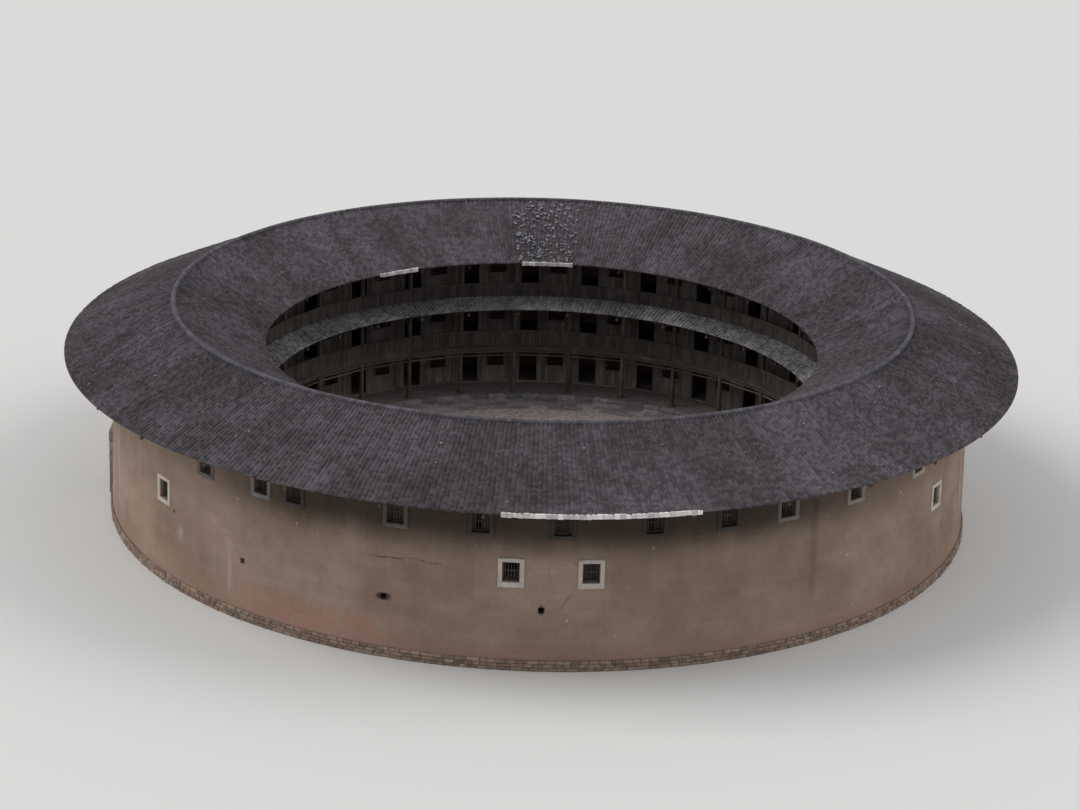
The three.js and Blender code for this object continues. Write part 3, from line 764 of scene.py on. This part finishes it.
def make_roof_lime():
    """Lime bedding along three stretches of eave, and stones and dabs of lime, most on the far slope."""
    rng = np.random.default_rng(50)
    bedding = Build(9)
    thick = 0.1
    for start, end, rows, radius, top, inset in (
        (-3.7, 18, OUTER_ROWS, EAVE_RADIUS - 0.02, EAVE_TOP, -thick / 2),
        (173.6, 185.8, INNER_ROWS, INNER_EAVE_RADIUS, INNER_EAVE_TOP, thick / 2),
        (-150.5, -140, INNER_ROWS, INNER_EAVE_RADIUS, INNER_EAVE_TOP, thick / 2),
    ):
        pitch = 360 / rows
        count = int((end - start) / pitch)
        azimuth = start + (np.arange(count) + 0.5) * pitch
        height = top - 0.01 + rng.normal(0, 0.006, count)
        tall = 0.21 * rng.uniform(0.9, 1.1, count)
        across = math.radians(pitch) * radius
        bedding.blocks(azimuth, radius + inset, height, thick, across, tall, bevel=0.016, rough=0.004)
    bedding.piece("eave_lime", LIME, "ridge_tile")

    stones = Build(10)
    many = 280
    azimuth = rng.uniform(173.6, 186.2, many)
    radius = INNER_EAVE_RADIUS + (RIDGE_RADIUS - INNER_EAVE_RADIUS) * rng.uniform(0.02, 0.97, many)
    size = rng.uniform(0.06, 0.16, many)
    stones.blocks(azimuth, radius, inner_top(radius) + 0.09, size * 0.8, size, size * 0.35,
                  tilt=INNER_TILT, spin=rng.uniform(-1, 1, many), bevel=0.02, rough=0.012)
    few = 60
    azimuth = rng.uniform(0, 360, few)
    radius = rng.uniform(RIDGE_RADIUS + 0.4, EAVE_RADIUS - 0.2, few)
    size = rng.uniform(0.05, 0.11, few)
    stones.blocks(azimuth, radius, outer_top(radius) + 0.09, size, size, size * 0.4,
                  tilt=OUTER_TILT, spin=rng.uniform(-1, 1, few), bevel=0.016, rough=0.01)
    stones.piece("roof_stones", WEATHERED_LIME, "ridge_tile")


# Earth wall
def holes_between(start, end):
    """First and last azimuth, sill and head of each window and vent between two azimuths."""
    openings = [(azimuth, height, WINDOW_WIDTH, WINDOW_HEIGHT) for azimuth, height in WINDOWS]
    openings += [(azimuth, VENT_HEIGHT, VENT_SIZE, VENT_SIZE) for azimuth in VENTS]
    holes = []
    for azimuth, height, wide, tall in openings:
        half = math.degrees(wide / 2 / wall_face(height))
        if start < azimuth < end:
            holes.append((azimuth - half, azimuth + half, height - tall / 2, height + tall / 2))
    return holes


def lines_with(low, high, step, fixed):
    """Grid lines from low to high about a step apart that pass exactly through the fixed ones."""
    lines = [low, high] + [line for line in fixed if low < line < high]
    for value in np.linspace(low, high, max(2, round((high - low) / step) + 1))[1:-1]:
        if min(abs(value - line) for line in lines) > step * 0.4:
            lines.append(value)
    return np.unique(lines)


def wall_section(start, end, low):
    """A stretch of the wall from a height upwards: a bulging outer face, a plain inner one and holes."""
    holes = holes_between(start, end)
    columns = lines_with(start, end, 0.75, [side for hole in holes for side in hole[:2]])
    high = outer_top(WALL_TOP_RADIUS) - ROOF_DEPTH
    heights = lines_with(low, high, 0.3, [edge for hole in holes for edge in hole[2:]])[:, None]
    face = wall_face(heights)
    outer = polar(columns, face, heights)
    bulge = ripple(outer, 8, 61) * 0.028 + ripple(outer, 2.2, 62) * 0.012
    lifts = ripple(outer * [0.25, 0.25, 1], 0.84, 63) * 0.008
    outer = polar(columns, face + bulge - 0.024 + lifts, heights)
    inner_heights = np.append(heights[:-1], outer_top(WALL_INNER_RADIUS) - ROOF_DEPTH)
    inner = polar(columns, WALL_INNER_RADIUS, inner_heights[:, None])
    rows, count = outer.shape[:2]
    across = (columns[:-1] + columns[1:]) / 2
    level = (heights[:-1] + heights[1:]) / 2
    solid = np.ones((rows - 1, count - 1), bool)
    for left, right, sill, head in holes:
        solid &= ~((level > sill) & (level < head) & (across > left) & (across < right))
    padded = np.pad(solid, 1)
    behind = rows * count
    quads = grid_quads(np.arange(behind).reshape(rows, count)).reshape(rows - 1, count - 1, 4)
    faces = [quads[solid], quads[solid][:, [0, 3, 2, 1]] + behind]
    for edge, step in enumerate(((1, 0), (0, -1), (-1, 0), (0, 1))):
        at_edge = solid & ~np.roll(padded, step, (0, 1))[1:-1, 1:-1]
        here = quads[at_edge][:, edge]
        there = quads[at_edge][:, (edge + 1) % 4]
        faces.append(np.stack([there, here, here + behind, there + behind], -1))
    along = np.radians(columns) * WALL_FOOT_RADIUS + 0 * face
    surface = np.stack([along, heights + 0 * along, 0 * along], -1) * SCALE
    build = Build()
    build.add([outer, inner], np.concatenate(faces).tolist(), [surface, surface])
    return build


def make_wall():
    for name, start, end in sections(WALL_STARTS):
        low = GATE_BAY_HEIGHT if name == "over_gate" else FOOTING_TOP
        turn = 360 if end > GATE_AZIMUTH else 0
        section = wall_section(start - turn, end - turn, low)
        section.piece(f"earth_{name}", EARTH, "rammed_earth", [f"outer_wall_{name}"], smooth=True)


def make_windows():
    """Plaster surrounds, timber casings with bars, and shutters that are shut, ajar or open inwards."""
    azimuth, height = np.array(WINDOWS).T
    rng = np.random.default_rng(70)
    plaster = Build(12)
    depth = 0.22
    proud = 0.045 - depth / 2
    band = SURROUND_WIDTH
    worn = [1 if np.isclose(spot, WORN_SURROUNDS).any() else rng.uniform(0, 0.35) for spot in azimuth]
    finish = {"bevel": 0.024, "rough": 0.006, "tone": worn}
    for side in (-1, 1):
        drift = rng.normal(0, 0.006, len(azimuth))
        plaster.blocks(azimuth, wall_face(height) + proud, height, depth, band + drift,
                       WINDOW_HEIGHT + 2 * band - 0.02, shift=side * (WINDOW_WIDTH + band) / 2, **finish)
        level = height + side * (WINDOW_HEIGHT + band) / 2
        extra = LOWER_BAND_EXTRA * ((height == LOWER_WINDOW) & (side < 0))
        plaster.blocks(azimuth, wall_face(level) + proud, level + side * extra / 2, depth,
                       WINDOW_WIDTH + 2 * band, band + drift + extra, **finish)
    plaster.piece("window_surrounds", PLASTER, "rammed_earth")

    joinery = Build(13)
    radius = wall_face(height) - 0.22
    for side in (-1, 1):
        joinery.blocks(azimuth, radius, height, 0.1, CASING_WIDTH, WINDOW_HEIGHT,
                       shift=side * (WINDOW_WIDTH - CASING_WIDTH) / 2, bevel=0.008)
        joinery.blocks(azimuth, radius, height + side * (WINDOW_HEIGHT - CASING_WIDTH) / 2, 0.1,
                       WINDOW_WIDTH, CASING_WIDTH, bevel=0.008)
    bars = 5
    pitch = WINDOW_WIDTH / (bars + 1)
    joinery.row(bars, pitch, azimuth, radius, height, 0.04, 0.04, WINDOW_HEIGHT, bevel=0.006)
    joinery.blocks(azimuth, radius, height, 0.03, WINDOW_WIDTH, 0.05, bevel=0.006)
    joinery.piece("window_bars", DARK_TIMBER, "dark_timber")

    shutters = Build(14)
    plank = (WINDOW_WIDTH / 2 - CASING_WIDTH) / 3
    radius = wall_face(height) - 0.3
    for side in (-1, 1):
        swing = rng.choice([0, 0, 0.35, 1.35], len(azimuth)) * side
        for reach in (plank / 2, plank * 1.5, plank * 2.5):
            shutters.blocks(azimuth, radius - reach * np.abs(np.sin(swing)), height, 0.03, plank * 0.96,
                            WINDOW_HEIGHT - 2 * CASING_WIDTH, spin=-swing, bevel=0.004,
                            shift=side * (3 * plank - reach * np.cos(swing)))
    shutters.piece("window_shutters", RED_TIMBER, "dark_timber")


def make_footing():
    """Field stones in three rough courses round the foot of the wall, before an earth core."""
    opposite = GATE_AZIMUTH - 180
    core_radius = FOOTING_RADIUS - 0.07
    courses = 3
    tall = FOOTING_TOP / courses
    out = 0.2
    for name, start, end, seed in (
        ("front", WALL_STARTS["before_gate"] - 360, opposite, 80),
        ("back", opposite, WALL_STARTS["over_gate"], 90),
    ):
        core = Build(seed)
        outline = [(WALL_INNER_RADIUS, 0), (core_radius, 0), (core_radius, FOOTING_TOP),
                   (WALL_INNER_RADIUS, FOOTING_TOP)]
        core.ring(outline, np.linspace(start, end, 129), whole=False)
        core.piece(f"footing_core_{name}", MORTAR, "footing_stone", [f"stone_footing_{name}"])
        stones = Build(seed)
        rng = np.random.default_rng(seed)
        for course in range(courses):
            widths = []
            while math.degrees(sum(widths) / FOOTING_RADIUS) < end - start - 1:
                widths.append(rng.uniform(0.28, 0.6))
            widths = np.array(widths)
            middles = start + 0.1 + np.degrees(np.cumsum(widths) - widths / 2) / FOOTING_RADIUS
            face = FOOTING_RADIUS - 0.012 - rng.uniform(0, 0.04, len(widths))
            stones.blocks(middles, face - out / 2, (course + 0.5) * tall, out, widths * 0.95, tall * 0.93,
                          bevel=0.06, rough=0.012)
        stones.piece(f"footing_stones_{name}", STONE, "footing_stone")


# Gate
def make_gate():
    """A stone frame of coursed jambs, a lintel and a sill, with two plank leaves."""
    low, high = [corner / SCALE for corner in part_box("gate_stone_frame")]
    depth = high.x - low.x
    radius = -(high.x + low.x) / 2
    whole = high.y - low.y
    jamb_width = (whole - GATE_WIDTH) / 2 - 0.008
    lintel_height = high.z - GATE_HEIGHT
    stone = Build(100)
    courses = 5
    tall = GATE_HEIGHT / courses
    for side in (-1, 1):
        for course in range(courses):
            stone.blocks(GATE_AZIMUTH, radius, (course + 0.5) * tall, depth, jamb_width, tall * 0.985,
                         shift=side * (GATE_WIDTH + jamb_width) / 2, bevel=0.028, rough=0.004)
    stone.blocks(GATE_AZIMUTH, radius, GATE_HEIGHT + lintel_height / 2, depth, whole - 0.012,
                 lintel_height * 0.98, bevel=0.032, rough=0.004)
    sill_width = GATE_WIDTH - 0.008
    stone.blocks(GATE_AZIMUTH, radius, GROUND_FLOOR / 2, depth, sill_width, GROUND_FLOOR, bevel=0.024)
    stone.piece("gate_stones", GATE_STONE, "footing_stone", ["gate_stone_frame"])
    make_leaf("right", GATE_AZIMUTH - FACET_ANGLE)
    make_leaf("left", GATE_AZIMUTH + FACET_ANGLE)


def make_leaf(name, facet):
    """Planks with ledges on a leaf folded back against one flat side of the wall."""
    low, high = [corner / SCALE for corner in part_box(f"gate_leaf_{name}")]
    middle = np.array(low + high) / 2
    shift = middle @ outward(facet + 90)
    radius = middle @ outward(facet)
    width = 0.88
    tall = high.z - low.z
    leaf = Build(110)
    planks = 5
    plank = width / planks
    leaf.row(planks, plank, facet, radius, middle[2], 0.05, plank * 0.97, tall, shift=shift, bevel=0.008)
    for share in (0.12, 0.5, 0.88):
        leaf.blocks(facet, radius - 0.035, low.z + tall * share, 0.03, width, 0.12, shift=shift, bevel=0.008)
    leaf.piece(f"gate_planks_{name}", DARK_TIMBER, "dark_timber", [f"gate_leaf_{name}"])


# Timber work round the court
POSTS = around(BAYS)
BAY_MIDDLES = np.arange(BAYS) * BAY_ANGLE


def straight_run(build, radius, height, out, tall, bevel):
    """Straight timbers from post to post all round."""
    across = radius * CHORD + out * 0.2
    build.blocks(BAY_MIDDLES, radius * FLAT, height, out, across, tall, bevel=bevel)


def storeys(third_top):
    """Each storey's name, floor and ceiling."""
    return [
        ("ground", GROUND_FLOOR, SECOND_FLOOR - DECK_DEPTH),
        ("second", SECOND_FLOOR, THIRD_FLOOR - DECK_DEPTH),
        ("third", THIRD_FLOOR, third_top),
    ]


def make_gallery_frames():
    """Posts, beams and the rails under them, with post stones, skirt arms and eave arms."""
    for name, floor, top in storeys(inner_top((POST_RADIUS - POST_WIDTH / 2) * FLAT) - ROOF_DEPTH):
        build = Build(120)
        build.blocks(POSTS, POST_RADIUS, (floor + top) / 2, POST_WIDTH, POST_WIDTH, top - floor, bevel=0.036)
        straight_run(build, POST_RADIUS, top - BEAM_DEPTH / 2, POST_WIDTH * 0.8, BEAM_DEPTH, 0.024)
        straight_run(build, POST_RADIUS, top - BEAM_DEPTH * 1.75, POST_WIDTH * 0.35, BEAM_DEPTH * 0.4, 0.012)
        if name == "ground":
            build.blocks(POSTS, POST_RADIUS, floor + 0.05, 0.34, 0.34, 0.1, bevel=0.04)
        if name == "second":
            end = SKIRT_EAVE_RADIUS + 0.17
            tall = 0.15
            build.blocks(POSTS, (end + POST_RADIUS) / 2, skirt_top(end) - ROOF_DEPTH - tall / 2,
                         POST_RADIUS - end, 0.14, tall, bevel=0.02)
        if name == "third":
            end = INNER_EAVE_RADIUS + 0.2
            start = POST_RADIUS + POST_WIDTH / 2
            middle = (end + start) / 2
            depth = 0.18
            length = (start - end) / math.cos(INNER_TILT)
            build.blocks(POSTS, middle, inner_top(middle) - ROOF_DEPTH - depth / 2, length, 0.14,
                         depth * math.cos(INNER_TILT), tilt=INNER_TILT, bevel=0.02)
        build.piece(f"gallery_timbers_{name}", TIMBER, "timber", [f"gallery_frame_{name}"])


def make_joists():
    joists = Build(121)
    inner = DECK_EDGE_RADIUS + 0.02
    length = FRONT_RADIUS - inner
    for floor in (SECOND_FLOOR, THIRD_FLOOR):
        height = floor - DECK_DEPTH - 0.06
        joists.blocks(around(192), inner + length / 2, height, length, 0.09, 0.12, bevel=0.012)
    joists.piece("gallery_joists", TIMBER, "timber")


def make_balustrades():
    """Boarded gallery fronts between two rails."""
    radius = POST_RADIUS - POST_WIDTH / 2 - BALUSTRADE_DEPTH / 2
    boards = 16
    width = radius * CHORD / boards
    for name, floor in (("second", SECOND_FLOOR), ("third", THIRD_FLOOR)):
        build = Build(130)
        straight_run(build, radius, floor + BALUSTRADE_HEIGHT - 0.04, BALUSTRADE_DEPTH, 0.08, 0.012)
        straight_run(build, radius, floor + 0.06, BALUSTRADE_DEPTH, 0.12, 0.012)
        build.row(boards, width, BAY_MIDDLES, radius * FLAT, floor + BALUSTRADE_HEIGHT / 2, 0.03,
                  width * 0.93, BALUSTRADE_HEIGHT - 0.1)
        build.piece(f"balustrade_boards_{name}", DARK_TIMBER, "dark_timber", [f"balustrade_{name}"])


# A room front's openings: how far aside, width, sill and height
DOOR = (0.75, 0.95, 0.1, 1.95)
ROOM_WINDOW = (-0.75, 0.9, 1, 0.85)
FRONT_CORNER = FRONT_RADIUS + FRONT_DEPTH / 2
FRONT_FACE = FRONT_CORNER * FLAT
BAY_WIDTH = FRONT_CORNER * CHORD


def plank_spans(middle, floor, top):
    """The stretches of a front's plank above and below the openings that it meets."""
    spans = [(floor + 0.1, top - 0.18)]
    for shift, width, sill, height in (DOOR, ROOM_WINDOW):
        if abs(middle - shift) < width / 2:
            low, high = spans.pop()
            if floor + sill > low + 0.02:
                spans.append((low, floor + sill))
            spans.append((floor + sill + height, high))
    return spans


def add_planks(build, bays, floor, top):
    """A room front's posts, rails and planks, and the casings of its openings."""
    post = 0.16
    build.blocks(POSTS, FRONT_CORNER, (floor + top) / 2, post, post, top - floor, bevel=0.02)
    build.blocks(BAY_MIDDLES, FRONT_FACE, top - 0.09, 0.1, BAY_WIDTH, 0.18, bevel=0.016)
    build.blocks(bays, FRONT_FACE, floor + 0.05, 0.12, BAY_WIDTH, 0.1, bevel=0.012)
    planks = 16
    plank = BAY_WIDTH / planks
    for middle in (np.arange(planks) - (planks - 1) / 2) * plank:
        for low, high in plank_spans(middle, floor, top):
            build.blocks(bays, FRONT_FACE, (low + high) / 2, 0.035, plank * 0.95, high - low, shift=middle)
    for shift, width, sill, height in (DOOR, ROOM_WINDOW):
        low = floor + sill
        whole = width + 0.14
        for side in (-1, 1):
            build.blocks(bays, FRONT_FACE, low + height / 2, 0.09, 0.08, height + 0.08,
                         shift=shift + side * (width / 2 + 0.03), bevel=0.01)
        build.blocks(bays, FRONT_FACE, low + height + 0.03, 0.09, whole, 0.08, shift=shift, bevel=0.01)
    build.blocks(bays, FRONT_FACE, low - 0.03, 0.1, whole, 0.08, shift=shift, bevel=0.01)


def add_leaves(build, bays, floor):
    """A room front's window bars and open door leaves."""
    shift, width, sill, height = ROOM_WINDOW
    low = floor + sill
    bars = 7
    build.row(bars, width / (bars + 1), bays, FRONT_FACE, low + height / 2, 0.03, 0.03, height, shift=shift)
    for share in (0.33, 0.67):
        build.blocks(bays, FRONT_FACE, low + height * share, 0.025, width, 0.03, shift=shift)
    shift, width, sill, height = DOOR
    leaf = width / 2 - 0.02
    middle = floor + sill + height / 2
    for side in (-1, 1):
        build.blocks(bays, FRONT_FACE + 0.05 + leaf / 2, middle, leaf, 0.035, height - 0.02,
                     shift=shift + side * (width / 2 + 0.012), bevel=0.006)


def make_room_fronts():
    """Plank fronts with a door and a window in every bay but the gate's."""
    for name, floor, top in storeys(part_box("room_front_third")[1].z / SCALE):
        bays = BAY_MIDDLES
        if name == "ground":
            bays = np.delete(bays, int(GATE_AZIMUTH / BAY_ANGLE))
        planks = Build(140)
        add_planks(planks, bays, floor, top)
        planks.piece(f"room_planks_{name}", FRONT_TIMBER, "timber", [f"room_front_{name}"])
        leaves = Build(141)
        add_leaves(leaves, bays, floor)
        leaves.piece(f"room_joinery_{name}", RED_TIMBER, "dark_timber")


# Floors
def make_kerb():
    kerb = Build(150)
    blocks = 96
    width = KERB_RADIUS - KERB_INNER_RADIUS
    middle = KERB_INNER_RADIUS + width / 2
    across = math.radians(360 / blocks) * middle * 0.985
    kerb.blocks(around(blocks), middle, KERB_TOP / 2, width * 0.97, across, KERB_TOP,
                bevel=0.032, rough=0.004)
    kerb.piece("kerb_stones", KERB_STONE, "footing_stone", ["veranda_kerb"])


def make_court():
    """Three rings of slabs at the court's edge, and a path two slabs wide from the gate across it."""
    court = Build(151)
    rng = np.random.default_rng(151)
    depth = 0.08
    middle = COURT_TOP - depth / 2 + 0.024
    uneven = 0.006
    finish = {"bevel": 0.02, "rough": 0.004}
    for number in range(3):
        radius = COURT_RADIUS - (number + 0.5) * 0.55
        count = int(2 * math.pi * radius / 0.95)
        azimuth = (np.arange(count) + rng.uniform(0, 1)) * 360 / count
        across = 2 * math.pi * radius / count * 0.97
        height = middle + rng.uniform(-uneven, uneven, count)
        court.blocks(azimuth, radius, height, 0.53, across, depth, **finish)
    path = 1.1
    length = 0.6
    reach = COURT_RADIUS - 1.7
    for number in range(int(2 * reach / length)):
        along = (number + 0.5) * length - reach
        for side in (-1, 1):
            court.blocks(GATE_AZIMUTH - 180, along, middle + rng.uniform(-uneven, uneven), length - 0.015,
                         path - 0.02, depth, shift=side * path / 2, **finish)
    court.piece("court_slabs", KERB_STONE, "paving")


make_tiles()
make_roof_timbers()
make_ridge()
make_roof_lime()
make_wall()
make_windows()
make_footing()
make_gate()
make_gallery_frames()
make_joists()
make_balustrades()
make_room_fronts()
make_kerb()
make_court()

CAD_LOOKS = {
    "courtyard_floor": COBBLES,
    "ground_floor": FLOOR_EARTH,
    "second_floor_deck": TIMBER,
    "third_floor_deck": TIMBER,
    "outer_eave_frame": TIMBER,
}
for node_name, material in CAD_LOOKS.items():
    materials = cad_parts[node_name].data.materials
    materials.clear()
    materials.append(material)


# Stage, light and camera
def make_stage():
    bpy.ops.mesh.primitive_plane_add(size=600)
    floor = bpy.context.object
    floor.name = "studio_floor"
    floor.data.materials.append(Look("studio_floor", "d9d7d3", 0.9).finish())
    world = bpy.data.worlds.new("studio")
    bpy.context.scene.world = world
    world.use_nodes = True
    background = world.node_tree.nodes["Background"]
    background.inputs["Color"].default_value = (0.92, 0.95, 1, 1)
    background.inputs["Strength"].default_value = 0.55
    add_sun("left_key", -95, 46, 1.5)
    add_sun("right_fill", 100, 42, 0.8)


def toward(azimuth, elevation):
    """A direction from its azimuth and elevation, in degrees."""
    return Vector(polar(azimuth, math.cos(math.radians(elevation)), math.sin(math.radians(elevation))))


def add_sun(name, azimuth, elevation, energy):
    """A broad soft light from one side."""
    data = bpy.data.lights.new(name, "SUN")
    data.energy = energy
    data.angle = math.radians(40)
    new_object(name, data).rotation_euler = toward(azimuth, elevation).to_track_quat("Z", "Y").to_euler()


def make_camera(distance=149.3, elevation=17.36, lens=101, aim=4.9, roll=1.8):
    """The photograph's viewpoint, as seen from the ridge's middle, aimed at a height above the court."""
    data = bpy.data.cameras.new("camera")
    data.lens = lens
    data.sensor_width = 36
    data.clip_end = 1000
    camera = new_object("camera", data)
    camera.location = (Vector((0, 0, RIDGE_HEIGHT)) + toward(0, elevation) * distance) * SCALE
    level = (camera.location - Vector((0, 0, aim * SCALE))).to_track_quat("Z", "Y")
    camera.rotation_euler = (level @ Quaternion((0, 0, 1), math.radians(roll))).to_euler()
    bpy.context.scene.camera = camera


make_stage()
make_camera()
bpy.context.scene.view_settings.view_transform = "Standard"
